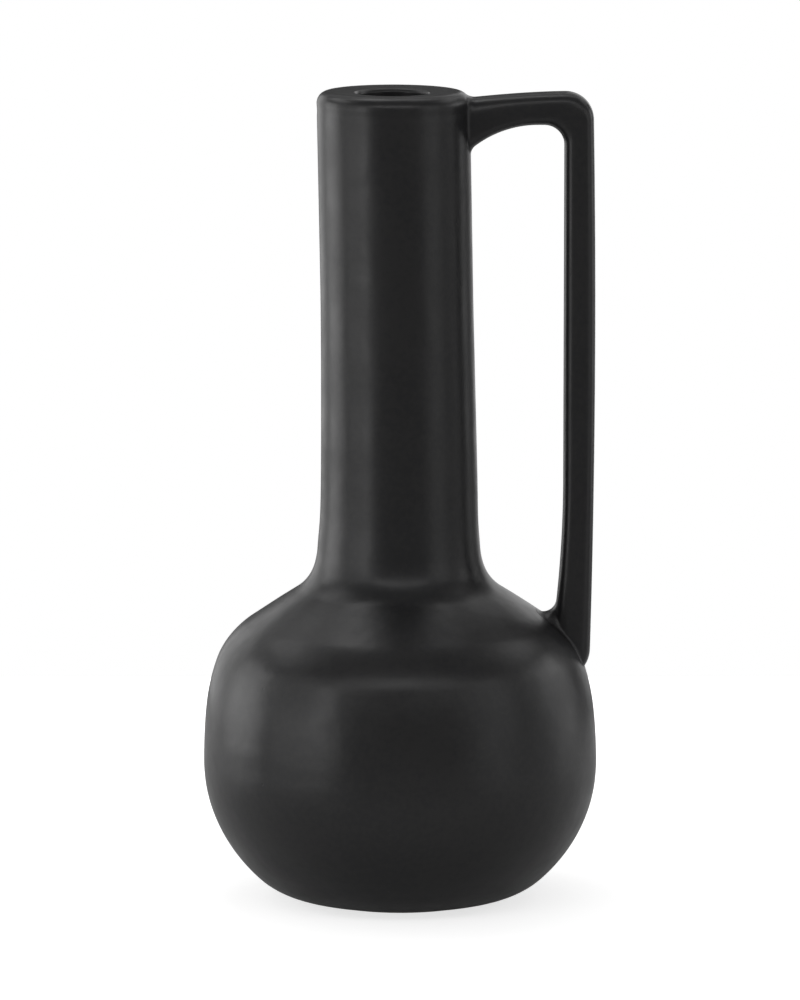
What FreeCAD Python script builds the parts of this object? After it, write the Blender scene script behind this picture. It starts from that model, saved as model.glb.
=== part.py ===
import FreeCAD, Part
import math
import os
import Sketcher

# A black glazed lekythos in millimetres: squat belly, tall neck, thick mouth, square strap handle.
# The origin is the middle of the standing face, +Z is up, and the handle is on the +X side.

# Driving dimensions

SIZES = {
    # whole vase
    "height": 300,
    "wall": 5,
    # belly below its widest line: a side arc, then a tighter arc in to the flat underside
    "belly_radius": 72.8,
    "lower_side_radius": 59,
    "lower_side_angle": 47,
    "base_round_radius": 28,
    # belly above its widest line: a side arc, a tighter shoulder arc, a straight slope
    "upper_side_radius": 128,
    "upper_side_angle": 16.8,
    "shoulder_radius": 27,
    "shoulder_angle": 57.3,
    # foot
    "foot_radius": 33.5,
    "foot_width": 4.5,
    "foot_height": 1.2,
    # neck
    "neck_radius": 27.8,
    "neck_swell": 1.25,
    "neck_sweep_radius": 22,
    "waist_depth": 0.35,
    "waist_height": 2.4,
    # mouth
    "mouth_band": 0.9,
    "lip_round": 4.4,
    "crest_width": 1.4,
    "dish_depth": 0.5,
    "mouth_radius": 13.2,
    "mouth_edge_round": 0.9,
    "mouth_land": 4.5,
    # handle
    "handle_drop": 0.7,
    "handle_inset": 1.6,
    "handle_width": 16,
    "handle_edge_round": 4.6,
    "outer_corner_radius": 10.8,
    "inner_corner_radius": 7.5,
    "arm_thickness": 10.6,
    "arm_fall": 2.2,
    "arm_root_radius": 4.4,
    "arm_root_angle": 50,
    "strap_thickness": 10.85,
    "strap_flare_radius": 400,
    "strap_flare_angle": 5.5,
    "strap_root_radius": 5.6,
    "strap_heel_drop": 0.5,
    "strap_heel_radius": 8,
    "strap_heel_angle": 60,
    "root_sink": 0.5,
}

# The neck's swelling has faded out this far up from the shoulder to the mouth.
SWELL_SHARE = 0.5

# The rounding of the handle's edges takes at most this share of the thinner run of the strap.
ROUND_SHARE = 0.47

# The seam of the core, measured round the axis from the handle, in degrees.
SEAM_ANGLE = 180

# Two places nearer than this are the same place.
FIT = 0.001

doc = FreeCAD.newDocument("lekythos")
sheet = doc.addObject("Spreadsheet::Sheet", "Sizes")
for row, (alias, value) in enumerate(SIZES.items(), start=1):
    sheet.set(f"A{row}", alias)
    sheet.set(f"B{row}", str(value))
    sheet.setAlias(f"B{row}", alias)
doc.recompute()


# Measures: a value now, and the formula of sheet cells that keeps it true

class Measure:
    def __init__(self, value, text):
        self.value = float(value)
        self.text = text

    def __add__(self, other):
        other = measure(other)
        return Measure(self.value + other.value, f"({self.text} + {other.text})")

    def __sub__(self, other):
        other = measure(other)
        return Measure(self.value - other.value, f"({self.text} - {other.text})")

    def __rsub__(self, other):
        return measure(other) - self

    def __mul__(self, other):
        other = measure(other)
        return Measure(self.value * other.value, f"({self.text} * {other.text})")

    def __rmul__(self, other):
        return self * other

    def __truediv__(self, other):
        other = measure(other)
        return Measure(self.value / other.value, f"({self.text} / {other.text})")


def measure(item):
    return item if isinstance(item, Measure) else Measure(item, str(item))


def cell(alias):
    return Measure(sheet.get(alias), f"Sizes.{alias}")


def sine(angle):
    return Measure(math.sin(math.radians(angle.value)), f"sin({angle.text})")


def cosine(angle):
    return Measure(math.cos(math.radians(angle.value)), f"cos({angle.text})")


def root(square):
    return Measure(math.sqrt(square.value), f"sqrt({square.text})")


def least(*items):
    return Measure(min(item.value for item in items), "min(" + "; ".join(item.text for item in items) + ")")


def bow_radius(run, rise):
    """Radius of an arc that leaves a straight run and has risen by rise at its end."""
    return (run * run + rise * rise) / (2 * rise)


ZERO = measure(0)


# Outlines: places joined by lines and arcs, each place and radius bound to the sheet

class Outline:
    def __init__(self, start):
        self.places = [start]
        self.radii = []

    def line(self, place):
        self.places.append(place)
        self.radii.append(None)
        return self

    def arc(self, place, radius, turn):
        """turn is +1 for an arc that turns left on its way, and -1 for one that turns right."""
        self.places.append(place)
        self.radii.append((radius, turn))
        return self

    def through(self, other):
        """Goes on along another outline that starts where this one ends."""
        self.places += other.places[1:]
        self.radii += other.radii
        return self

    def backwards(self):
        other = Outline(self.places[-1])
        other.places = self.places[::-1]
        other.radii = [pair and (pair[0], -pair[1]) for pair in self.radii[::-1]]
        return other


def arc_middle(first, last, radius, turn):
    """The middle of the short arc between two places, for the sketch's first shape."""
    half = (last - first) * 0.5
    rise = radius - math.sqrt(radius ** 2 - half.Length ** 2)
    side = FreeCAD.Vector(half.y, -half.x, 0).normalize()
    return first + half + side * rise * turn


def sketch_outline(body, name, role, outline):
    """Draws a closed outline on one of the body's own planes and binds it to the sheet."""
    sketch = body.newObject("Sketcher::SketchObject", name)
    plane = next(item for item in body.Origin.OriginFeatures if item.Role == role)
    sketch.AttachmentSupport = [(plane, "")]
    sketch.MapMode = "FlatFace"
    spots = [FreeCAD.Vector(place[0].value, place[1].value, 0) for place in outline.places]
    ends = []
    for first, last, bend in zip(spots, spots[1:] + spots[:1], outline.radii + [None]):
        if bend is None:
            piece = sketch.addGeometry(Part.LineSegment(first, last))
            ends.append((piece, 1, 2))
            continue
        radius, turn = bend
        middle = arc_middle(first, last, radius.value, turn)
        piece = sketch.addGeometry(Part.Arc(first, middle, last))
        from_head = sketch.getPoint(piece, 1).distanceToPoint(first)
        from_tail = sketch.getPoint(piece, 2).distanceToPoint(first)
        ends.append((piece, 1, 2) if from_head < from_tail else (piece, 2, 1))
        bound = sketch.addConstraint(Sketcher.Constraint("Radius", piece, radius.value))
        sketch.setExpression(f"Constraints[{bound}]", radius.text)
    for number, (piece, head, tail) in enumerate(ends):
        before = ends[number - 1]
        sketch.addConstraint(Sketcher.Constraint("Coincident", before[0], before[2], piece, head))
        across, up = outline.places[number]
        for way, axis, length in (("DistanceX", -2, across), ("DistanceY", -1, up)):
            if length is ZERO:
                sketch.addConstraint(Sketcher.Constraint("PointOnObject", piece, head, axis))
                continue
            bound = sketch.addConstraint(Sketcher.Constraint(way, -1, 1, piece, head, length.value))
            sketch.setExpression(f"Constraints[{bound}]", length.text)
    doc.recompute()
    return sketch


def turned_body(name, outline):
    """A piece thrown on the wheel: its outline turned once round the vase's axis."""
    body = doc.addObject("PartDesign::Body", name)
    body.Label = name
    sketch = sketch_outline(body, name + "_outline", "XZ_Plane", outline)
    turned = body.newObject("PartDesign::Revolution", name + "_turned")
    turned.Profile = sketch
    turned.ReferenceAxis = (sketch, ["V_Axis"])
    turned.Angle = 360
    sketch.Visibility = False
    doc.recompute()
    return body


# The skin of the vase: places on it, each with the direction that it faces

height = cell("height")
wall = cell("wall")
belly_radius = cell("belly_radius")
lower_side_radius = cell("lower_side_radius")
base_round_radius = cell("base_round_radius")
upper_side_radius = cell("upper_side_radius")
shoulder_radius = cell("shoulder_radius")
foot_height = cell("foot_height")
neck_radius = cell("neck_radius")
neck_swell = cell("neck_swell")
neck_sweep_radius = cell("neck_sweep_radius")
lip_round = cell("lip_round")
waist_height = cell("waist_height")
neck_top = height - lip_round - cell("mouth_band") - waist_height

low_sine, low_cosine = sine(cell("lower_side_angle")), cosine(cell("lower_side_angle"))
high_sine, high_cosine = sine(cell("upper_side_angle")), cosine(cell("upper_side_angle"))
slope_sine, slope_cosine = sine(cell("shoulder_angle")), cosine(cell("shoulder_angle"))

widest_z = foot_height + lower_side_radius * low_sine + base_round_radius * (1 - low_sine)
widest = (belly_radius, widest_z)
low_turn = (
    belly_radius - lower_side_radius * (1 - low_cosine),
    widest_z - lower_side_radius * low_sine,
)
floor_edge = (low_turn[0] - base_round_radius * low_cosine, foot_height)
high_turn = (
    belly_radius - upper_side_radius * (1 - high_cosine),
    widest_z + upper_side_radius * high_sine,
)
slope_foot = (
    high_turn[0] - shoulder_radius * (high_cosine - slope_cosine),
    high_turn[1] + shoulder_radius * (slope_sine - high_sine),
)

swell_run = SWELL_SHARE * (neck_top - slope_foot[1])
swell_length = root(swell_run * swell_run + neck_swell * neck_swell)
swell_sine, swell_cosine = neck_swell / swell_length, swell_run / swell_length

slope_head_r = neck_radius + neck_swell + neck_sweep_radius * (swell_cosine - slope_cosine)
slope_head = (slope_head_r, slope_foot[1] + (slope_foot[0] - slope_head_r) * slope_cosine / slope_sine)
neck_foot = (neck_radius + neck_swell, slope_head[1] + neck_sweep_radius * (slope_sine - swell_sine))
swell_end = (neck_radius, neck_foot[1] + swell_run)


def inside(place, facing_cosine, facing_sine):
    """The place on the inner face that is one wall behind a place on the skin."""
    return (place[0] - wall * facing_cosine, place[1] - wall * facing_sine)


belly_skin = Outline(floor_edge)
belly_skin.arc(low_turn, base_round_radius, 1)
belly_skin.arc(widest, lower_side_radius, 1)
belly_skin.arc(high_turn, upper_side_radius, 1)
belly_skin.arc(slope_foot, shoulder_radius, 1)
belly_skin.line(slope_head)

belly_lining = Outline((floor_edge[0], foot_height + wall))
belly_lining.arc(inside(low_turn, low_cosine, ZERO - low_sine), base_round_radius - wall, 1)
belly_lining.arc(inside(widest, measure(1), ZERO), lower_side_radius - wall, 1)
belly_lining.arc(inside(high_turn, high_cosine, high_sine), upper_side_radius - wall, 1)
belly_lining.arc(inside(slope_foot, slope_cosine, slope_sine), shoulder_radius - wall, 1)
belly_lining.line(inside(slope_head, slope_cosine, slope_sine))

waist_radius = bow_radius(waist_height, cell("waist_depth"))
waist = (neck_radius - cell("waist_depth"), neck_top)

neck_skin = Outline(slope_head)
neck_skin.arc(neck_foot, neck_sweep_radius, -1)
neck_skin.line(swell_end)
neck_skin.line((neck_radius, neck_top - waist_height))
neck_skin.arc(waist, waist_radius, 1)

neck_lining = Outline(inside(slope_head, slope_cosine, slope_sine))
neck_lining.arc(inside(neck_foot, swell_cosine, swell_sine), neck_sweep_radius + wall, -1)
neck_lining.line(inside(swell_end, measure(1), ZERO))
neck_lining.line((neck_radius - wall, neck_top))

crest_r = neck_radius - lip_round
mouth_radius = cell("mouth_radius")
mouth_edge_round = cell("mouth_edge_round")
dish_z = height - cell("dish_depth")

lip_skin = Outline(waist)
lip_skin.arc((neck_radius, neck_top + waist_height), waist_radius, 1)
lip_skin.line((neck_radius, height - lip_round))
lip_skin.arc((crest_r, height), lip_round, 1)


# Foot ring: the bare ring of clay that the vase stands on

foot_outer = cell("foot_radius")
foot_inner = foot_outer - cell("foot_width")
foot_outline = Outline((foot_inner, ZERO))
foot_outline.line((foot_outer, ZERO)).line((foot_outer, foot_height)).line((foot_inner, foot_height))
turned_body("foot_ring", foot_outline)


# Belly: the thrown bowl, closed in to the shoulder, with its joint face square to the wall

belly_outline = Outline((ZERO, foot_height)).line(floor_edge).through(belly_skin)
belly_outline.line(belly_lining.places[-1]).through(belly_lining.backwards())
belly_outline.line((ZERO, foot_height + wall))
turned_body("belly", belly_outline)


# Neck: the tube that sweeps out at its foot to sit on the shoulder

neck_outline = Outline(slope_head).through(neck_skin)
neck_outline.line(neck_lining.places[-1]).through(neck_lining.backwards())
turned_body("neck", neck_outline)


# Mouth rim: a thick rounded lip with a shallow dish round a small round mouth

mouth_outline = Outline(waist).through(lip_skin)
mouth_outline.line((crest_r - cell("crest_width"), height))
mouth_outline.line((mouth_radius + mouth_edge_round, dish_z))
mouth_outline.arc((mouth_radius, dish_z - mouth_edge_round), mouth_edge_round, 1)
mouth_outline.line((mouth_radius, dish_z - mouth_edge_round - cell("mouth_land")))
mouth_outline.line((neck_radius - wall, neck_top))
turned_body("mouth_rim", mouth_outline)


# Vase core: the whole skin filled in, which only shapes the roots of the handle

core_outline = Outline((ZERO, foot_height)).line(floor_edge).through(belly_skin)
core_outline.through(neck_skin).through(lip_skin).line((ZERO, height))
core = turned_body("vase_core", core_outline)

# The core's surfaces close on themselves along a seam, which is kept away from the handle.
core.Placement.Rotation = FreeCAD.Rotation(FreeCAD.Vector(0, 0, 1), SEAM_ANGLE)
doc.recompute()


# Handle: one strap, pulled and bent square, pressed on to the neck and the shoulder

half_width = cell("handle_width") / 2
root_x = root(neck_radius * neck_radius - half_width * half_width)
buried_x = neck_radius - wall
reach = belly_radius - cell("handle_inset")
outer_corner = cell("outer_corner_radius")
inner_corner = cell("inner_corner_radius")
strap_thickness = cell("strap_thickness")
arm_thickness = cell("arm_thickness")
inner_x = reach - strap_thickness
arm_top = height - cell("handle_drop")
arm_under = arm_top - arm_thickness

strap_top = (reach, arm_top - outer_corner)
arm_end = (reach - outer_corner, arm_top)
heel = (reach, high_turn[1] - cell("strap_heel_drop"))
heel_radius = cell("strap_heel_radius")
heel_end_sine, heel_end_cosine = sine(cell("strap_heel_angle")), cosine(cell("strap_heel_angle"))
heel_end = (
    heel[0] - heel_radius * (1 - heel_end_cosine),
    heel[1] - heel_radius * heel_end_sine,
)
heel_tip = (heel_end[0] - wall * heel_end_sine, heel_end[1] - wall * heel_end_cosine)

arm_run = arm_end[0] - neck_radius
arm_top_radius = bow_radius(arm_run, cell("arm_fall"))
arm_reach = arm_end[0] - buried_x
arm_drop = arm_top_radius - root(arm_top_radius * arm_top_radius - arm_reach * arm_reach)
arm_start = (buried_x, arm_top - arm_drop)

flare_radius = cell("strap_flare_radius")
flare_sine, flare_cosine = sine(cell("strap_flare_angle")), cosine(cell("strap_flare_angle"))
root_radius = cell("strap_root_radius")
root_lift = root_radius - cell("root_sink")
root_centre_x = inner_x - flare_radius + (flare_radius - root_radius) * flare_cosine
root_centre_z = slope_foot[1] + (root_lift - (root_centre_x - slope_foot[0]) * slope_cosine) / slope_sine
root_end = (root_centre_x - root_radius * slope_cosine, root_centre_z - root_radius * slope_sine)
flare_end = (root_centre_x + root_radius * flare_cosine, root_centre_z - root_radius * flare_sine)
flare_start = (inner_x, root_centre_z + (flare_radius - root_radius) * flare_sine)

arch_radius = cell("arm_root_radius")
arch_sine, arch_cosine = sine(cell("arm_root_angle")), cosine(cell("arm_root_angle"))
arch_start = (inner_x - inner_corner, arm_under)
crown_radius = (arch_start[0] - root_x - arch_radius * (1 - arch_cosine)) / arch_cosine
arch_joint = (root_x + arch_radius * (1 - arch_cosine), arm_under - crown_radius * (1 - arch_sine))
arch_end = (root_x, arch_joint[1] - arch_radius * arch_sine)

root_tip = inside(root_end, slope_cosine, slope_sine)
arch_tip = (buried_x, arch_end[1])

handle_outline = Outline(arm_start)
handle_outline.arc(arm_end, arm_top_radius, -1)
handle_outline.arc(strap_top, outer_corner, -1)
handle_outline.line(heel)
handle_outline.arc(heel_end, heel_radius, -1)
handle_outline.line(heel_tip).line(root_tip).line(root_end)
handle_outline.arc(flare_end, root_radius, 1)
handle_outline.arc(flare_start, flare_radius, 1)
handle_outline.line((inner_x, arm_under - inner_corner))
handle_outline.arc(arch_start, inner_corner, 1)
handle_outline.arc(arch_joint, crown_radius, 1)
handle_outline.arc(arch_end, arch_radius, 1)
handle_outline.line(arch_tip)

strap = doc.addObject("PartDesign::Body", "handle_strap")
strap_sketch = sketch_outline(strap, "handle_outline", "XZ_Plane", handle_outline)
strap_pad = strap.newObject("PartDesign::Pad", "handle_pad")
strap_pad.Profile = strap_sketch
strap_pad.Midplane = True
strap_pad.setExpression("Length", "Sizes.handle_width")
strap_sketch.Visibility = False
doc.recompute()


def meets(vertex, place):
    return abs(vertex.X - place[0].value) < FIT and abs(vertex.Z - place[1].value) < FIT


def side_edges(shape, outline, square_runs):
    """The edges of the strap's two flat sides, apart from the square runs buried in the vase."""
    names = []
    for number, edge in enumerate(shape.Edges, start=1):
        if edge.BoundBox.YLength > FIT:
            continue
        one, other = edge.Vertexes
        for run in zip(outline.places, outline.places[1:] + outline.places[:1]):
            first, last = run
            joins = meets(one, first) and meets(other, last) or meets(one, last) and meets(other, first)
            if joins and run not in square_runs:
                names.append(f"Edge{number}")
    return names


edge_round = least(cell("handle_edge_round"), strap_thickness * ROUND_SHARE, arm_thickness * ROUND_SHARE)
buried_runs = [(heel_tip, root_tip), (root_tip, root_end), (arch_end, arch_tip), (arch_tip, arm_start)]
strap_round = strap.newObject("PartDesign::Fillet", "handle_edges")
strap_round.Base = (strap_pad, side_edges(strap_pad.Shape, handle_outline, buried_runs))
strap_round.setExpression("Radius", edge_round.text)
doc.recompute()

handle = doc.addObject("Part::Cut", "handle")
handle.Base = strap
handle.Tool = core
handle.Label = "handle"
doc.recompute()


# Check and export

NODES = ["foot_ring", "belly", "neck", "mouth_rim", "handle"]

for item in doc.Objects:
    if "Invalid" in item.State or "Error" in item.State:
        raise RuntimeError(f"{item.Label} failed: {item.State}")

os.makedirs("parts", exist_ok=True)
for node in NODES:
    item = doc.getObjectsByLabel(node)[0]
    shape = item.Shape
    if shape.isNull() or not shape.isValid():
        raise RuntimeError(f"{node} has no valid shape")
    shape.exportStep(os.path.join("parts", node + ".step"))
    box = shape.BoundBox
    print(f"{node}: {len(shape.Solids)} solid, {shape.Volume / 1000:.1f} cm3,"
          f" x {box.XMin:.1f} to {box.XMax:.1f}, z {box.ZMin:.1f} to {box.ZMax:.1f}")
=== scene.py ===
import math

import bpy
import numpy as np
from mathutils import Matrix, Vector


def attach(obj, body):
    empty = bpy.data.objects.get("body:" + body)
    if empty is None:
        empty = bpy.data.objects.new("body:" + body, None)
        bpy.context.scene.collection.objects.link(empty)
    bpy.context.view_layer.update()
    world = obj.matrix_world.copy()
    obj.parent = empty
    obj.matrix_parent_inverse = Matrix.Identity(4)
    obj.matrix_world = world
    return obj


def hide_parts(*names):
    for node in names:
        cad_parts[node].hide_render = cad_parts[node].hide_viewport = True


# A black glazed lekythos: squat belly, tall neck, thick mouth and a square strap handle.
# Sizes are in millimetres and angles in degrees, and the meshes are made in metres.

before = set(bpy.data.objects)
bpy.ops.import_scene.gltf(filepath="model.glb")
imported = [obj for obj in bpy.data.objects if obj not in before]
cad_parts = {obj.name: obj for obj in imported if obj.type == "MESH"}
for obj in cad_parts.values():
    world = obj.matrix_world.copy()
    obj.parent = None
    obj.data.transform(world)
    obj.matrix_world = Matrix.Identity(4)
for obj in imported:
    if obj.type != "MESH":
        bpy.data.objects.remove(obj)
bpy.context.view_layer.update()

MM = 0.001

# Turned form, close to the CAD model's
HEIGHT = 300
WALL = 5
BELLY_R = 72.7
LOWER_SIDE_R, LOWER_SIDE_ANGLE = 59, 47
BASE_ROUND_R = 28
UPPER_SIDE_R, UPPER_SIDE_ANGLE = 128, 16.8
SHOULDER_R, SHOULDER_ANGLE = 27, 57.3
FOOT_R, FOOT_WIDTH, FOOT_HEIGHT, FOOT_EDGE = 33.5, 4.5, 1.2, 0.45
NECK_R, NECK_SWELL, SWELL_SHARE = 28.1, 1.25, 0.5
NECK_EASE = 1.3
SWEEP_R = 20
WAIST_DEPTH, WAIST_REACH = 0.12, 2.6
LIP_ROUND, CREST_WIDTH, DISH_DEPTH = 4.4, 1.0, 0.4
MOUTH_R, MOUTH_EDGE, MOUTH_LAND = 13.2, 1.5, 4.0

# The neck leans a little to the left: most at the mouth, none at the shoulder
LEAN = 2.55
LEAN_FOOT, LEAN_POWER = 115, 1.5

# Belly and neck were thrown a little askew: sideways shifts, each with its height and its reach
SKEWS = ((0.25, 18, 26), (-0.2, 90, 22), (-0.35, 130, 16))

# The wall is a touch fuller or flatter in places than plain arcs make it, each with height and reach
BULGES = (
    (-0.2, 9, 8), (0.2, 38, 13), (0.75, 80, 15), (-0.35, 101, 7), (0.35, 111, 6), (0.75, 129, 9),
)

# Unevenness of the thrown wall, as a share of the radius, and how fast it turns with height
UNEVEN_SHARE = 0.0004
WAVE_PITCH = 40

# Handle, seen from the front: a strap bent square
ARM_TOP, ARM_FALL, ARM_FALL_POWER = 299.8, 2.0, 1.6
OUTER_CORNER_R, INNER_CORNER_R = 10.2, 7.5
STRAP_CREST_X, STRAP_CREST_Z, STRAP_BOW_R = 71.8, 207, 4300
HEEL_Z, HEEL_R = 93, 11
INNER_X, FLARE_Z, FLARE_R = 60.2, 156, 430
ARM_UNDER, UNDER_X, UNDER_R = 287.8, 50.5, 38
STRAP_DEPTH = 16
SECTION_POWER = 3.4

# The strap is drawn on into the vase: it starts inside the lip and ends low in the belly
ARM_START_X, STRAP_END_Z = 12, 70

# Shares of their own radius over which the heel and the arm's underside curve
HEEL_TURN, UNDER_TURN = 0.95, 0.98

# Slip rounds that join the handle to the vase, by the side of the strap that they are on
ARM_ROUND_TOP, ARM_ROUND_SIDE, ARM_ROUND_UNDER = 5.8, 2.2, 4.6
ROOT_ROUND_OUT, ROOT_ROUND_SIDE, ROOT_ROUND_IN = 1.2, 1.5, 5.0

# How fast a round's size changes at the strap's corners, how much of its arc is made, and how
# deep its far edge then dips under the vase's skin, with how much of a last step onwards
CORNER_POWER, ARC_MADE, BURY, BURY_STEP = 6, 0.985, 0.6, 0.5

# Steps between rings in mm: the plain wall, then tighter and tighter rounds, then hidden faces
RING_STEP, SHOULDER_STEP, SWEEP_STEP, LIP_STEP, EDGE_STEP = 1.6, 0.8, 0.5, 0.3, 0.15
BELLY_LINING_STEP, NECK_LINING_STEP, FLAT_STEP = 3, 4, 5

# A first narrow ring at the neck's seam, in degrees, so that the light runs on from the belly
SEAM_TURN = 0.1

# Points round a ring and round the strap's section, and rows or rings along the curves
TURN_STEPS, SECTION_STEPS, SECTION_SAMPLES = 224, 72, 4001
LEAST_ARC_STEPS, WAIST_PLACES = 6, 12
ARM_PLACES, CORNER_PLACES, STRAP_PLACES = 46, 22, 180
HANDLE_ROWS, ROUND_RINGS = 230, 14

# Places closer than this are one place, and a radius smaller than this is on the axis
SAME_PLACE, ON_AXIS = 1e-4, 1e-6

# Edges sharper than these angles stay sharp in the shading
TURNED_SHARP, HANDLE_SHARP = 40, 60


def sind(angle):
    return math.sin(math.radians(angle))


def cosd(angle):
    return math.cos(math.radians(angle))


# Profile of the turned form: places (radius, height) from the foot up to the mouth

def arc(centre, radius, start, end, step=RING_STEP):
    """Places on an arc; the angle is the direction from its centre, 0 outwards and 90 up."""
    count = max(LEAST_ARC_STEPS, int(abs(math.radians(end - start)) * radius / step))
    return [(centre[0] + radius * cosd(a), centre[1] + radius * sind(a))
            for a in np.linspace(start, end, count + 1)]


def run(first, last, step=RING_STEP):
    """Places on a straight line."""
    count = max(1, int(math.dist(first, last) / step))
    return [(first[0] + (last[0] - first[0]) * t, first[1] + (last[1] - first[1]) * t)
            for t in np.linspace(0, 1, count + 1)]


def chain(*parts):
    """Joins runs and arcs end to end, without the doubled places."""
    places = []
    for part in parts:
        for place in part:
            if not places or math.dist(places[-1], place) > SAME_PLACE:
                places.append(place)
    return places


def off(place, distance, angle):
    """The place that lies a distance away, towards an angle above the level."""
    return (place[0] + distance * cosd(angle), place[1] + distance * sind(angle))


low_sine = sind(LOWER_SIDE_ANGLE)
widest_z = FOOT_HEIGHT + LOWER_SIDE_R * low_sine + BASE_ROUND_R * (1 - low_sine)
lower_centre = (BELLY_R - LOWER_SIDE_R, widest_z)
low_turn = off(lower_centre, LOWER_SIDE_R, -LOWER_SIDE_ANGLE)
base_centre = off(low_turn, -BASE_ROUND_R, -LOWER_SIDE_ANGLE)
upper_centre = (BELLY_R - UPPER_SIDE_R, widest_z)
high_turn = off(upper_centre, UPPER_SIDE_R, UPPER_SIDE_ANGLE)
shoulder_centre = off(high_turn, -SHOULDER_R, UPPER_SIDE_ANGLE)
slope_foot = off(shoulder_centre, SHOULDER_R, SHOULDER_ANGLE)

neck_top = HEIGHT - LIP_ROUND - WAIST_REACH
swell_run = SWELL_SHARE * (neck_top - slope_foot[1])
swell_angle = math.degrees(math.atan2(NECK_SWELL, swell_run))
head_r = NECK_R + NECK_SWELL + SWEEP_R * (cosd(swell_angle) - cosd(SHOULDER_ANGLE))
slope_head = off(slope_foot, (slope_foot[0] - head_r) / sind(SHOULDER_ANGLE), SHOULDER_ANGLE + 90)
sweep_centre = off(slope_head, SWEEP_R, SHOULDER_ANGLE)
neck_foot = off(sweep_centre, -SWEEP_R, swell_angle)
swell_end = (NECK_R, neck_foot[1] + swell_run)
crest_r = NECK_R - LIP_ROUND


def neck_wall():
    """The neck's skin, which narrows from its foot and has lost its taper at the swelling's end."""
    length = swell_end[1] - neck_foot[1]
    return [(NECK_R + NECK_SWELL * (1 - t) ** NECK_EASE, neck_foot[1] + length * t)
            for t in np.linspace(0, 1, int(length / RING_STEP))]


def waist(first, last):
    """The soft dip between neck and mouth, between two shares of its reach, finest at the seam."""
    return [(NECK_R - WAIST_DEPTH * (1 + math.cos(math.pi * t)) / 2, neck_top + WAIST_REACH * t)
            for t in (share * abs(share) for share in np.linspace(first, last, WAIST_PLACES))]


belly_skin = chain(
    arc(base_centre, BASE_ROUND_R, -90, -LOWER_SIDE_ANGLE),
    arc(lower_centre, LOWER_SIDE_R, -LOWER_SIDE_ANGLE, 0),
    arc(upper_centre, UPPER_SIDE_R, 0, UPPER_SIDE_ANGLE),
    arc(shoulder_centre, SHOULDER_R, UPPER_SIDE_ANGLE, SHOULDER_ANGLE, SHOULDER_STEP),
    run(slope_foot, slope_head),
)
belly_lining = chain(
    arc(base_centre, BASE_ROUND_R - WALL, -90, -LOWER_SIDE_ANGLE),
    arc(lower_centre, LOWER_SIDE_R - WALL, -LOWER_SIDE_ANGLE, 0, BELLY_LINING_STEP),
    arc(upper_centre, UPPER_SIDE_R - WALL, 0, UPPER_SIDE_ANGLE, BELLY_LINING_STEP),
    arc(shoulder_centre, SHOULDER_R - WALL, UPPER_SIDE_ANGLE, SHOULDER_ANGLE),
    [off(slope_head, -WALL, SHOULDER_ANGLE)],
)
seam_end = SHOULDER_ANGLE - SEAM_TURN
neck_skin = chain(
    [off(sweep_centre, -SWEEP_R, SHOULDER_ANGLE), off(sweep_centre, -SWEEP_R, seam_end)],
    arc(sweep_centre, SWEEP_R, 180 + seam_end, 180 + swell_angle, SWEEP_STEP),
    neck_wall(),
    run(swell_end, (NECK_R, neck_top - WAIST_REACH)),
    waist(-1, 0),
)
neck_lining = chain(
    arc(sweep_centre, SWEEP_R + WALL, 180 + SHOULDER_ANGLE, 180 + swell_angle),
    run((swell_end[0] - WALL, swell_end[1]), (NECK_R - WALL, neck_top), NECK_LINING_STEP),
)
lip_skin = chain(
    waist(0, 1),
    arc((crest_r, HEIGHT - LIP_ROUND), LIP_ROUND, 0, 90, LIP_STEP),
)
crest_inner = (crest_r - CREST_WIDTH, HEIGHT)
dish_edge = (MOUTH_R + MOUTH_EDGE, HEIGHT - DISH_DEPTH)
land_top = dish_edge[1] - MOUTH_EDGE
land_foot = land_top - MOUTH_LAND
mouth_inside = chain(
    run((crest_r, HEIGHT), crest_inner, SWEEP_STEP),
    run(crest_inner, dish_edge, SHOULDER_STEP),
    arc((dish_edge[0], land_top), MOUTH_EDGE, 90, 180, EDGE_STEP),
    run((MOUTH_R, land_top), (MOUTH_R, land_foot)),
    run((MOUTH_R, land_foot), (NECK_R - WALL, neck_top)),
)


# The hand of the maker: the neck's lean and a slight unevenness, shared by all the pieces

def swells_at(z, swells):
    """The sum of smooth swells at a height, each with its size, middle and reach."""
    return sum(size * np.exp(-((z - middle) / reach) ** 2) for size, middle, reach in swells)


def lean_at(z):
    """How far the axis has gone to the right at a height."""
    rise = np.clip((z - LEAN_FOOT) / (HEIGHT - LEAN_FOOT), 0, None)
    return swells_at(z, SKEWS) - LEAN * rise ** LEAN_POWER


def bulge_at(z):
    """How much fuller than its plain outline the wall is at a height."""
    return swells_at(z, BULGES)


def round_share(turn, z):
    """How much of its full radius the wall has left on one side, at one height."""
    rise = (z - widest_z) / WAVE_PITCH
    wave = 2 - np.cos(2 * turn + rise) + np.cos(3 * turn + math.pi / 2 + 2 * rise)
    return 1 - UNEVEN_SHARE * wave


def turned_points(places):
    """Rings of points, one ring for each place of a profile, leaning as the neck does."""
    r, z = np.array(places, float).T
    turn = np.linspace(0, 2 * math.pi, TURN_STEPS, endpoint=False)
    radius = (r + bulge_at(z))[:, None] * round_share(turn[None, :], z[:, None])
    return np.stack([
        radius * np.cos(turn) + lean_at(z)[:, None],
        radius * np.sin(turn),
        np.broadcast_to(z[:, None], radius.shape),
    ], axis=-1)


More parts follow.
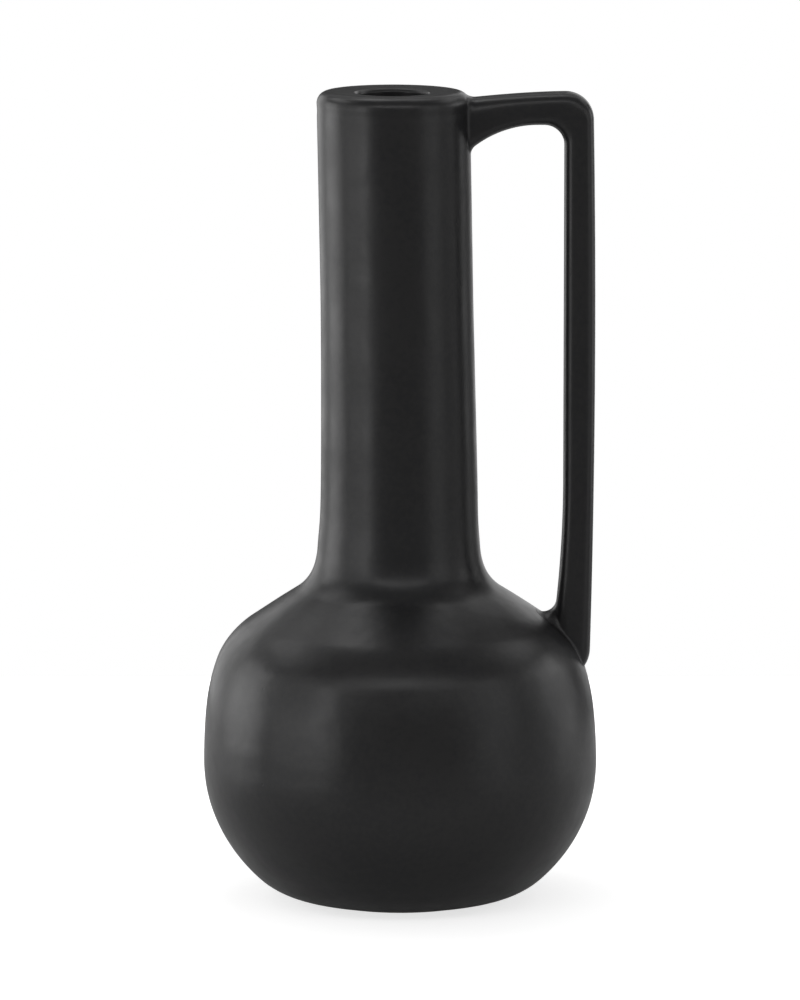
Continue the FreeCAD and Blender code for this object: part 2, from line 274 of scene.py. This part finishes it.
def make_mesh(name, points, faces, sharp_angle):
    """A smooth-shaded mesh in the scene, from points in millimetres."""
    mesh = bpy.data.meshes.new(name)
    mesh.from_pydata([tuple(p) for p in np.asarray(points) * MM], [], faces)
    mesh.validate()
    piece = bpy.data.objects.new(name, mesh)
    bpy.context.scene.collection.objects.link(piece)
    mesh.shade_smooth()
    mesh.set_sharp_from_angle(angle=math.radians(sharp_angle))
    return piece


def turned_piece(name, places):
    """A closed turned shell; a place on the axis becomes one point, not a ring."""
    points, rings = [], []
    grid = turned_points(places)
    for place, ring in zip(places, grid):
        if place[0] < ON_AXIS:
            rings.append([len(points)])
            points.append(ring.mean(axis=0))
        else:
            rings.append(list(range(len(points), len(points) + len(ring))))
            points.extend(ring)
    faces = []
    ring_shaped = places[0][0] > ON_AXIS
    pairs = zip(rings, rings[1:] + rings[:1]) if ring_shaped else zip(rings, rings[1:])
    for low, high in pairs:
        for i in range(TURN_STEPS):
            j = (i + 1) % TURN_STEPS
            if len(low) == 1:
                faces.append((low[0], high[j], high[i]))
            elif len(high) == 1:
                faces.append((low[i], low[j], high[0]))
            else:
                faces.append((low[i], low[j], high[j], high[i]))
    return make_mesh(name, points, faces, TURNED_SHARP)


foot_inner = FOOT_R - FOOT_WIDTH
foot = turned_piece("glaze_free_foot", chain(
    [(foot_inner, FOOT_HEIGHT)],
    arc((foot_inner + FOOT_EDGE, FOOT_EDGE), FOOT_EDGE, 180, 270, EDGE_STEP),
    arc((FOOT_R - FOOT_EDGE, FOOT_EDGE), FOOT_EDGE, 270, 360, EDGE_STEP),
    [(FOOT_R, FOOT_HEIGHT)],
))
belly = turned_piece("thrown_belly", chain(
    run((0, FOOT_HEIGHT), belly_skin[0], FLAT_STEP),
    belly_skin,
    belly_lining[::-1],
    run(belly_lining[0], (0, FOOT_HEIGHT + WALL), FLAT_STEP),
))
neck = turned_piece("thrown_neck", chain(neck_skin, neck_lining[::-1]))
mouth = turned_piece("rounded_mouth", chain(lip_skin, mouth_inside))

# Handle: two edge curves seen from the front, and round-cornered sections between them

host_profile = np.array(chain(belly_skin, neck_skin, lip_skin, [crest_inner]))
host_profile[:, 0] += bulge_at(host_profile[:, 1])


def host_distance(points):
    """Distance from the vase's skin, outside positive, and the direction straight away from it."""
    x = points[:, 0] - lean_at(points[:, 2])
    y, z = points[:, 1], points[:, 2]
    radius = np.hypot(x, y)
    spot = np.stack([radius / round_share(np.arctan2(y, x), z), z], axis=1)
    start, along = host_profile[:-1], np.diff(host_profile, axis=0)
    share = np.clip(((spot[:, None] - start) * along).sum(-1) / (along * along).sum(-1), 0, 1)
    near = start + along * share[..., None]
    gaps = np.linalg.norm(spot[:, None] - near, axis=-1)
    nearest = gaps.argmin(axis=1)
    each = np.arange(len(points))
    gap, way = gaps[each, nearest], spot - near[each, nearest]
    along = along[nearest]
    side = np.where(along[:, 1] * way[:, 0] - along[:, 0] * way[:, 1] >= 0, 1, -1)
    way = way / gap[:, None] * side[:, None]
    out = np.stack([way[:, 0] * x / radius, way[:, 0] * y / radius, way[:, 1]], axis=1)
    return gap * side, out


def strap_outer_x(z):
    """The strap's outer face: a slight bow, and the heel's curve at its foot."""
    bow = STRAP_CREST_X - (z - STRAP_CREST_Z) ** 2 / (2 * STRAP_BOW_R)
    drop = min(max(HEEL_Z - z, 0), HEEL_R * HEEL_TURN)
    return bow - (HEEL_R - math.sqrt(HEEL_R ** 2 - drop ** 2))


def strap_inner_x(z):
    """The strap's inner face: straight, with a flare towards its foot."""
    return INNER_X - max(FLARE_Z - z, 0) ** 2 / (2 * FLARE_R)


def arm_top_z(x):
    """The arm's upper face, which falls towards the neck."""
    fall = max((arm_end_x - x) / (arm_end_x - NECK_R), 0)
    return ARM_TOP - ARM_FALL * fall ** ARM_FALL_POWER


def arm_under_z(x):
    """The arm's underside, which arches down to the neck."""
    lag = min(max(UNDER_X - x, 0), UNDER_R * UNDER_TURN)
    return ARM_UNDER - (UNDER_R - math.sqrt(UNDER_R ** 2 - lag ** 2))


outer_corner_z = ARM_TOP - OUTER_CORNER_R
arm_end_x = strap_outer_x(outer_corner_z) - OUTER_CORNER_R
inner_corner_z = ARM_UNDER - INNER_CORNER_R
inner_corner_x = INNER_X - INNER_CORNER_R


def handle_edges():
    """The outer and the inner edge of the strap, place by place from the neck to the shoulder."""
    outer, inner = [], []
    for t in np.linspace(0, 1, ARM_PLACES)[:-1]:
        outer_x = ARM_START_X + (arm_end_x - ARM_START_X) * t
        inner_x = ARM_START_X + (inner_corner_x - ARM_START_X) * t
        outer.append((outer_x, arm_top_z(outer_x)))
        inner.append((inner_x, arm_under_z(inner_x)))
    for turn in np.linspace(90, 0, CORNER_PLACES):
        outer.append(off((arm_end_x, outer_corner_z), OUTER_CORNER_R, turn))
        inner.append(off((inner_corner_x, inner_corner_z), INNER_CORNER_R, turn))
    for t in np.linspace(0, 1, STRAP_PLACES)[1:]:
        outer_z = outer_corner_z + (STRAP_END_Z - outer_corner_z) * t
        inner_z = inner_corner_z + (STRAP_END_Z - inner_corner_z) * t
        outer.append((strap_outer_x(outer_z), outer_z))
        inner.append((strap_inner_x(inner_z), inner_z))
    return np.array(outer), np.array(inner)


def section(turn):
    """The strap's section, between an ellipse and a rectangle: thickness, then depth, from -1 to 1."""
    power = 2 / SECTION_POWER
    return [np.sign(side) * np.abs(side) ** power for side in (np.cos(turn), np.sin(turn))]


def even_turns():
    """Turns round a section that leave its points about evenly spaced."""
    fine = np.linspace(0, 2 * math.pi, SECTION_SAMPLES)
    across, deep = section(fine)
    thick = (ARM_TOP - ARM_UNDER) / STRAP_DEPTH
    length = np.cumsum(np.hypot(np.diff(across * thick, prepend=thick), np.diff(deep, prepend=0)))
    return np.interp(np.linspace(0, length[-1], SECTION_STEPS, endpoint=False), length, fine)


across, deep = section(even_turns())


def strap_grid():
    """Sections along the strap, row by row, and the way that each of their points faces."""
    outer, inner = handle_edges()
    middle, half = (outer + inner) / 2, (outer - inner) / 2
    points = np.stack([
        middle[:, None, 0] + half[:, None, 0] * across,
        np.broadcast_to(deep * STRAP_DEPTH / 2, (len(outer), SECTION_STEPS)),
        middle[:, None, 1] + half[:, None, 1] * across,
    ], axis=-1)
    along = np.gradient(points, axis=0)
    around = np.roll(points, -1, axis=1) - np.roll(points, 1, axis=1)
    facing = np.cross(around, along)
    facing /= np.linalg.norm(facing, axis=-1, keepdims=True)
    outward = np.sign((facing * (points - points.mean(axis=1, keepdims=True))).sum())
    return points, facing * outward


strap, strap_facing = strap_grid()


def ball_sizes(out_round, side_round, in_round):
    """The radius of the ball that shapes the slip, for each column round the strap."""
    face_round = np.where(across > 0, out_round, in_round)
    return side_round + (face_round - side_round) * np.abs(across) ** CORNER_POWER


def touching_row(column, rows, radius):
    """How far along the rows a ball that rolls down one column comes to rest on the vase."""
    gaps, _ = host_distance(strap[rows, column] + strap_facing[rows, column] * radius)
    gaps = gaps - radius
    past = np.argmax(gaps < 0)
    return past - 1 + gaps[past - 1] / (gaps[past - 1] - gaps[past])


def slip_rounds(rows, sizes):
    """Where each column stops, and the rings of the round that leads it into the vase's skin."""
    stops, columns = [], []
    for column, radius in enumerate(sizes):
        stop = touching_row(column, rows, radius)
        row, next_row = rows[int(stop)], rows[int(stop) + 1]
        share = stop - int(stop)
        point = strap[row, column] * (1 - share) + strap[next_row, column] * share
        normal = strap_facing[row, column] * (1 - share) + strap_facing[next_row, column] * share
        normal /= np.linalg.norm(normal)
        centre = point + normal * radius
        _, away = host_distance(centre[None])
        first, last = -normal, -away[0]
        angle = math.acos(float(first @ last))
        ring = []
        for t in np.linspace(0, ARC_MADE, ROUND_RINGS):
            way = (math.sin((1 - t) * angle) * first + math.sin(t * angle) * last) / math.sin(angle)
            ring.append(centre + way * radius)
        ring.append(ring[-1] + last * BURY + (ring[-1] - ring[-2]) * BURY_STEP)
        stops.append(stop)
        columns.append(ring)
    return np.array(stops), np.array(columns).transpose(1, 0, 2)


def strap_rows(first, last):
    """Rows of the strap between its two slip rounds; each column is spread over its own length."""
    spots = np.arange(len(strap))
    rows = []
    for t in np.linspace(0, 1, HANDLE_ROWS)[1:-1]:
        at = first + (last - first) * t
        rows.append(np.stack([[np.interp(at[j], spots, strap[:, j, k]) for k in range(3)]
                              for j in range(SECTION_STEPS)]))
    return np.array(rows)


def build_handle():
    """The strap and its two slip rounds as one closed skin, whose ends are hidden in the vase."""
    half_way = len(strap) // 2
    neck_stops, neck_rounds = slip_rounds(
        np.arange(half_way, -1, -1),
        ball_sizes(ARM_ROUND_TOP, ARM_ROUND_SIDE, ARM_ROUND_UNDER),
    )
    foot_stops, foot_rounds = slip_rounds(
        np.arange(half_way, len(strap)),
        ball_sizes(ROOT_ROUND_OUT, ROOT_ROUND_SIDE, ROOT_ROUND_IN),
    )
    middle = strap_rows(half_way - neck_stops, half_way + foot_stops)
    rings = np.concatenate([neck_rounds[::-1], middle, foot_rounds])
    last_ring = len(rings) - 1
    points = list(rings.reshape(-1, 3))
    faces = []
    for i in range(last_ring):
        low, high = i * SECTION_STEPS, (i + 1) * SECTION_STEPS
        for j in range(SECTION_STEPS):
            k = (j + 1) % SECTION_STEPS
            faces.append((low + j, low + k, high + k, high + j))
    for ring, at_foot in ((0, False), (last_ring, True)):
        centre = len(points)
        points.append(rings[ring].mean(axis=0))
        for j in range(SECTION_STEPS):
            a = ring * SECTION_STEPS + j
            b = ring * SECTION_STEPS + (j + 1) % SECTION_STEPS
            faces.append((a, b, centre) if at_foot else (b, a, centre))
    return make_mesh("pulled_handle", points, faces, HANDLE_SHARP)


handle = build_handle()

# Materials: all patterns run in the vase's own metres, so they go on from piece to piece

def nodes_of(name):
    """A new material, its node tree and its shader."""
    material = bpy.data.materials.new(name)
    material.use_nodes = True
    tree = material.node_tree
    return material, tree, tree.nodes["Principled BSDF"]


def math_node(tree, operation, first, second):
    """A maths node; each side is a socket or a number."""
    node = tree.nodes.new("ShaderNodeMath")
    node.operation = operation
    for socket, side in zip(node.inputs, (first, second)):
        if isinstance(side, bpy.types.NodeSocket):
            tree.links.new(side, socket)
        else:
            socket.default_value = side
    return node.outputs[0]


def map_range(tree, value, start, end, low, high):
    """Goes softly from low to high while the value goes from start to end."""
    node = tree.nodes.new("ShaderNodeMapRange")
    node.interpolation_type = "SMOOTHSTEP"
    tree.links.new(value, node.inputs["Value"])
    for name, number in (("From Min", start), ("From Max", end), ("To Min", low), ("To Max", high)):
        node.inputs[name].default_value = number
    return node.outputs["Result"]


def object_place(tree, stretch=(1, 1, 1)):
    """The place on the vase, stretched along the axes so that a pattern can lie in rings."""
    coords = tree.nodes.new("ShaderNodeTexCoord").outputs["Object"]
    mapping = tree.nodes.new("ShaderNodeMapping")
    mapping.inputs["Scale"].default_value = stretch
    tree.links.new(coords, mapping.inputs["Vector"])
    return mapping.outputs["Vector"]


def noise(tree, place, scale, detail=3, rough=0.5):
    """Smooth noise from 0 to 1, with so many patches to the metre."""
    node = tree.nodes.new("ShaderNodeTexNoise")
    tree.links.new(place, node.inputs["Vector"])
    node.inputs["Scale"].default_value = scale
    node.inputs["Detail"].default_value = detail
    node.inputs["Roughness"].default_value = rough
    return node.outputs["Fac"]


def mix_colour(tree, share, first, second):
    """Mixes two colours; each is a socket or three numbers."""
    node = tree.nodes.new("ShaderNodeMix")
    node.data_type = "RGBA"
    tree.links.new(share, node.inputs["Factor"])
    for name, side in (("A", first), ("B", second)):
        socket = next(item for item in node.inputs if item.name == name and item.type == "RGBA")
        if isinstance(side, bpy.types.NodeSocket):
            tree.links.new(side, socket)
        else:
            socket.default_value = (*side, 1)
    return next(item for item in node.outputs if item.type == "RGBA")


# The share of a speck's size over which it has its full strength
SPECK_CORE = 0.6


def specks(tree, place, scale, size, kept):
    """1 on small round specks and 0 elsewhere; kept is the share of cells that have one."""
    cells = tree.nodes.new("ShaderNodeTexVoronoi")
    cells.inputs["Scale"].default_value = scale
    tree.links.new(place, cells.inputs["Vector"])
    near = map_range(tree, cells.outputs["Distance"], size * SPECK_CORE, size, 1, 0)
    split = tree.nodes.new("ShaderNodeSeparateColor")
    tree.links.new(cells.outputs["Color"], split.inputs[0])
    chosen = math_node(tree, "LESS_THAN", split.outputs[0], kept)
    return math_node(tree, "MULTIPLY", near, chosen)


def bump(tree, shader, layers):
    """Stacks bump layers, each a height socket and how many metres its full height stands up."""
    last = None
    for height, metres in layers:
        node = tree.nodes.new("ShaderNodeBump")
        node.inputs["Distance"].default_value = metres
        tree.links.new(height, node.inputs["Height"])
        if last is not None:
            tree.links.new(last, node.inputs["Normal"])
        last = node.outputs["Normal"]
    tree.links.new(last, shader.inputs["Normal"])


# Glaze: colours, shares and roughness are plain numbers, scales are patches to the metre, and
# the heights of the bumps and the scuffed zone above the foot are in metres
GLAZE_DARK, GLAZE_PALE = (0.0105, 0.0105, 0.0115), (0.0145, 0.014, 0.0145)
CLOUD_SCALE, MOTTLE_SCALE = 22, 480
GLAZE_WORN = (0.034, 0.03, 0.026)
SCUFFED_TO = (0.001, 0.007)
SCUFF_SCALE, SCUFF_EDGE = 160, (0.5, 0.62)
SPECK = (0.16, 0.15, 0.14)
SPECK_SCALE, SPECK_SIZE, SPECK_SHARE, SPECK_BUMP = 62, 0.016, 0.1, 0.00004
PIT_SCALE, PIT_SIZE, PIT_SHARE, PIT_BUMP = 240, 0.12, 0.06, -0.00004
GLAZE_ROUGH_LOW, GLAZE_ROUGH_HIGH = 0.3, 0.37
ROUGH_SCALE = 70
GLAZE_SHINE = 0.4
RING_STRETCH, WHEEL_SCALE, WHEEL_BUMP = (0.12, 0.12, 1), 130, 0.00012
RIPPLE_SCALE, RIPPLE_BUMP = 55, 0.0003
GRAIN_SCALE, GRAIN_BUMP = 900, 0.000012


def black_glaze():
    """Satin black glaze: cloudy, a little rough, with faint wheel rings, pits and pale specks."""
    material, tree, shader = nodes_of("black_glaze")
    place = object_place(tree)
    clouds = noise(tree, place, CLOUD_SCALE)
    mottle = noise(tree, place, MOTTLE_SCALE, 2)
    share = math_node(tree, "MULTIPLY", math_node(tree, "ADD", clouds, mottle), 0.5)
    colour = mix_colour(tree, map_range(tree, share, 0.4, 0.6, 0, 1), GLAZE_DARK, GLAZE_PALE)
    height = tree.nodes.new("ShaderNodeSeparateXYZ")
    tree.links.new(place, height.inputs[0])
    low = map_range(tree, height.outputs["Z"], *SCUFFED_TO, 1, 0)
    scuffs = map_range(tree, noise(tree, place, SCUFF_SCALE, 4, 0.7), *SCUFF_EDGE, 0, 1)
    colour = mix_colour(tree, math_node(tree, "MULTIPLY", low, scuffs), colour, GLAZE_WORN)
    dots = specks(tree, place, SPECK_SCALE, SPECK_SIZE, SPECK_SHARE)
    colour = mix_colour(tree, dots, colour, SPECK)
    tree.links.new(colour, shader.inputs["Base Color"])
    satin = noise(tree, place, ROUGH_SCALE, 4, 0.6)
    rough = map_range(tree, satin, 0.3, 0.7, GLAZE_ROUGH_LOW, GLAZE_ROUGH_HIGH)
    tree.links.new(rough, shader.inputs["Roughness"])
    shader.inputs["Specular IOR Level"].default_value = GLAZE_SHINE
    bump(tree, shader, (
        (noise(tree, object_place(tree, RING_STRETCH), WHEEL_SCALE, 2), WHEEL_BUMP),
        (noise(tree, place, RIPPLE_SCALE, 2), RIPPLE_BUMP),
        (noise(tree, place, GRAIN_SCALE, 2), GRAIN_BUMP),
        (specks(tree, place, PIT_SCALE, PIT_SIZE, PIT_SHARE), PIT_BUMP),
        (dots, SPECK_BUMP),
    ))
    return material


# Bare clay: its grains, clouds and dark bits in the same units as the glaze's
CLAY_DARK, CLAY_PALE = (0.25, 0.19, 0.12), (0.42, 0.34, 0.24)
CLAY_GRAIN_SCALE, CLAY_GRAIN_BUMP = 1400, 0.00006
CLAY_CLOUD_SCALE = 90
CLAY_BIT_SCALE, CLAY_BIT_SIZE, CLAY_BIT_SHARE = 700, 0.3, 0.25
CLAY_LUMP_SCALE, CLAY_LUMP_BUMP = 260, 0.00008
CLAY_ROUGH_LOW, CLAY_ROUGH_HIGH = 0.8, 0.95


def bare_clay():
    """Fired clay without glaze: sandy, matt, with grains and small dark bits."""
    material, tree, shader = nodes_of("bare_clay")
    place = object_place(tree)
    grains = noise(tree, place, CLAY_GRAIN_SCALE, 4, 0.7)
    clouds = map_range(tree, noise(tree, place, CLAY_CLOUD_SCALE), 0.35, 0.65, 0, 1)
    colour = mix_colour(tree, clouds, CLAY_DARK, CLAY_PALE)
    bits = specks(tree, place, CLAY_BIT_SCALE, CLAY_BIT_SIZE, CLAY_BIT_SHARE)
    colour = mix_colour(tree, bits, colour, CLAY_DARK)
    tree.links.new(colour, shader.inputs["Base Color"])
    rough = map_range(tree, grains, 0.3, 0.7, CLAY_ROUGH_LOW, CLAY_ROUGH_HIGH)
    tree.links.new(rough, shader.inputs["Roughness"])
    bump(tree, shader, (
        (grains, CLAY_GRAIN_BUMP),
        (noise(tree, place, CLAY_LUMP_SCALE), CLAY_LUMP_BUMP),
    ))
    return material


glaze = black_glaze()
clay = bare_clay()
for piece, material, node, slot in (
    (foot, clay, "foot_ring", "bare_clay"),
    (belly, glaze, "belly", "black_glaze"),
    (neck, glaze, "neck", "black_glaze"),
    (mouth, glaze, "mouth_rim", "black_glaze"),
    (handle, glaze, "handle", "black_glaze"),
):
    piece.data.materials.append(material)
    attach(piece, "root")
    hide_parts(node)


# Floor, lamps and camera

# The floor's half width, its gap to the foot and the shadow's two distances from the middle are in
# metres; its glow for the camera rises from the first distance, near the vase, to white at the second
FLOOR_HALF, FLOOR_GAP = 0.45, 0.00005
FLOOR_GREY, FLOOR_ROUGH = 0.64, 0.8
SHADOW_NEAR, SHADOW_FAR = 0.1, 0.3
NEAR_GLOW, FAR_GLOW = 0.72, 1.0
FLOOR_IN_GLAZE = 0.05


def pale_floor():
    """A floor that is white to the camera but for the vase's shadow, and dim in the glaze."""
    corners = [(-1, -1, 0), (1, -1, 0), (1, 1, 0), (-1, 1, 0)]
    mesh = bpy.data.meshes.new("floor")
    mesh.from_pydata([tuple(c * FLOOR_HALF for c in corner) for corner in corners], [], [(0, 1, 2, 3)])
    floor = bpy.data.objects.new("floor", mesh)
    # A hair below the foot, so that the two flat faces don't flicker into each other
    floor.location.z = -FLOOR_GAP
    bpy.context.scene.collection.objects.link(floor)
    material, tree, shader = nodes_of("pale_floor")
    shader.inputs["Base Color"].default_value = (FLOOR_GREY, FLOOR_GREY, FLOOR_GREY, 1)
    shader.inputs["Roughness"].default_value = FLOOR_ROUGH
    shader.inputs["Specular IOR Level"].default_value = 0
    ray = tree.nodes.new("ShaderNodeLightPath").outputs
    length = tree.nodes.new("ShaderNodeVectorMath")
    length.operation = "LENGTH"
    tree.links.new(tree.nodes.new("ShaderNodeNewGeometry").outputs["Position"], length.inputs[0])
    glow = map_range(tree, length.outputs["Value"], SHADOW_NEAR, SHADOW_FAR, NEAR_GLOW, FAR_GLOW)
    emission = tree.nodes.new("ShaderNodeEmission")
    straight = math_node(tree, "MAXIMUM", ray["Is Camera Ray"], ray["Is Transmission Ray"])
    seen = math_node(tree, "MULTIPLY", straight, glow)
    mirrored = math_node(tree, "MULTIPLY", ray["Is Glossy Ray"], FLOOR_IN_GLAZE)
    tree.links.new(math_node(tree, "ADD", seen, mirrored), emission.inputs["Strength"])
    add = tree.nodes.new("ShaderNodeAddShader")
    tree.links.new(shader.outputs[0], add.inputs[0])
    tree.links.new(emission.outputs[0], add.inputs[1])
    tree.links.new(add.outputs[0], tree.nodes["Material Output"].inputs["Surface"])
    mesh.materials.append(material)


pale_floor()

# Lamps: side counts from the camera round to the left and rise from the vase's middle upwards,
# both in degrees; then distance, width and height in metres, and how bright it looks in a mirror
LAMPS = {
    "left_softbox_low": (106, -2, 1.3, 0.75, 0.4, 2.8),
    "left_softbox_high": (106, 16, 1.3, 0.75, 0.4, 2.1),
    "left_window_low": (62, -2, 1.3, 0.75, 0.4, 1.4),
    "left_window_high": (62, 21, 1.3, 0.75, 0.6, 0.75),
    "left_strip": (45, 8, 1.3, 0.2, 0.8, 2.6),
    "left_back": (146, 8, 1.4, 0.8, 0.9, 1.1),
    "right_softbox_low": (-112, -2, 1.3, 0.65, 0.4, 1.0),
    "right_softbox_high": (-112, 16, 1.3, 0.65, 0.4, 1.6),
    "right_window_low": (-58, -2, 1.3, 0.6, 0.4, 0.7),
    "right_window_high": (-58, 20, 1.3, 0.6, 0.55, 0.85),
    "right_side": (-86, 8, 1.3, 0.45, 0.8, 0.2),
    "right_back": (-162, 8, 1.4, 0.6, 0.9, 0.9),
    "top_bar": (0, 38, 1.3, 1.7, 0.28, 1.9),
    "overhead_left": (150, 68, 1.3, 0.5, 0.5, 2.1),
    "overhead_right": (-150, 68, 1.3, 0.5, 0.5, 1.3),
    "left_high": (116, 45, 1.3, 0.9, 0.4, 1.4),
    "right_high": (-126, 43, 1.3, 0.9, 0.4, 1.0),
    "back_high": (180, 38, 1.3, 0.9, 0.4, 0.4),
}
MIDDLE = Vector((0, 0, 0.15))


def lamp(name, side, rise, distance, width, height, glow):
    """A soft rectangular lamp that faces the vase's middle and that the camera can't see."""
    light = bpy.data.lights.new(name, "AREA")
    light.shape = "RECTANGLE"
    light.size, light.size_y = width, height
    light.energy = glow * math.pi * width * height
    item = bpy.data.objects.new(name, light)
    bpy.context.scene.collection.objects.link(item)
    way = Vector((-sind(side) * cosd(rise), -cosd(side) * cosd(rise), sind(rise)))
    item.location = MIDDLE + way * distance
    item.rotation_euler = (-way).to_track_quat("-Z", "Y").to_euler()
    item.visible_camera = False


for name, values in LAMPS.items():
    lamp(name, *values)

# The room that the glaze mirrors is dim, and dimmer still behind the vase; seen straight, it is white
ROOM_FRONT, ROOM_BACK, ROOM_TURN = 0.25, 0.08, (0.2, 0.9)
world = bpy.data.worlds.new("studio")
bpy.context.scene.world = world
world.use_nodes = True
room = world.node_tree
way = room.nodes.new("ShaderNodeSeparateXYZ")
room.links.new(room.nodes.new("ShaderNodeTexCoord").outputs["Generated"], way.inputs[0])
room_glow = map_range(room, way.outputs["Y"], *ROOM_TURN, ROOM_FRONT, ROOM_BACK)
ray = room.nodes.new("ShaderNodeLightPath").outputs
seen_straight = math_node(room, "MAXIMUM", ray["Is Camera Ray"], ray["Is Transmission Ray"])
sky_glow = math_node(room, "MAXIMUM", room_glow, seen_straight)
room.links.new(sky_glow, room.nodes["Background"].inputs["Strength"])
room.nodes["Background"].inputs["Color"].default_value = (1, 1, 1, 1)

# Camera: distances in metres, its downward tilt in degrees, lens and sensor in millimetres
CAMERA_BACK, CAMERA_UP, CAMERA_DIP = 2.7, 0.5739, 8.953
LENS, SENSOR_WIDTH, VIEW_DEPTH = 266.65, 36, 50
camera_data = bpy.data.cameras.new("camera")
camera = bpy.data.objects.new("camera", camera_data)
bpy.context.scene.collection.objects.link(camera)
camera_data.lens = LENS
camera_data.sensor_width = SENSOR_WIDTH
camera_data.clip_end = VIEW_DEPTH
camera.location = (0, -CAMERA_BACK, CAMERA_UP)
camera.rotation_euler = (math.radians(90 - CAMERA_DIP), 0, 0)
bpy.context.scene.camera = camera
bpy.context.scene.view_settings.view_transform = "Standard"
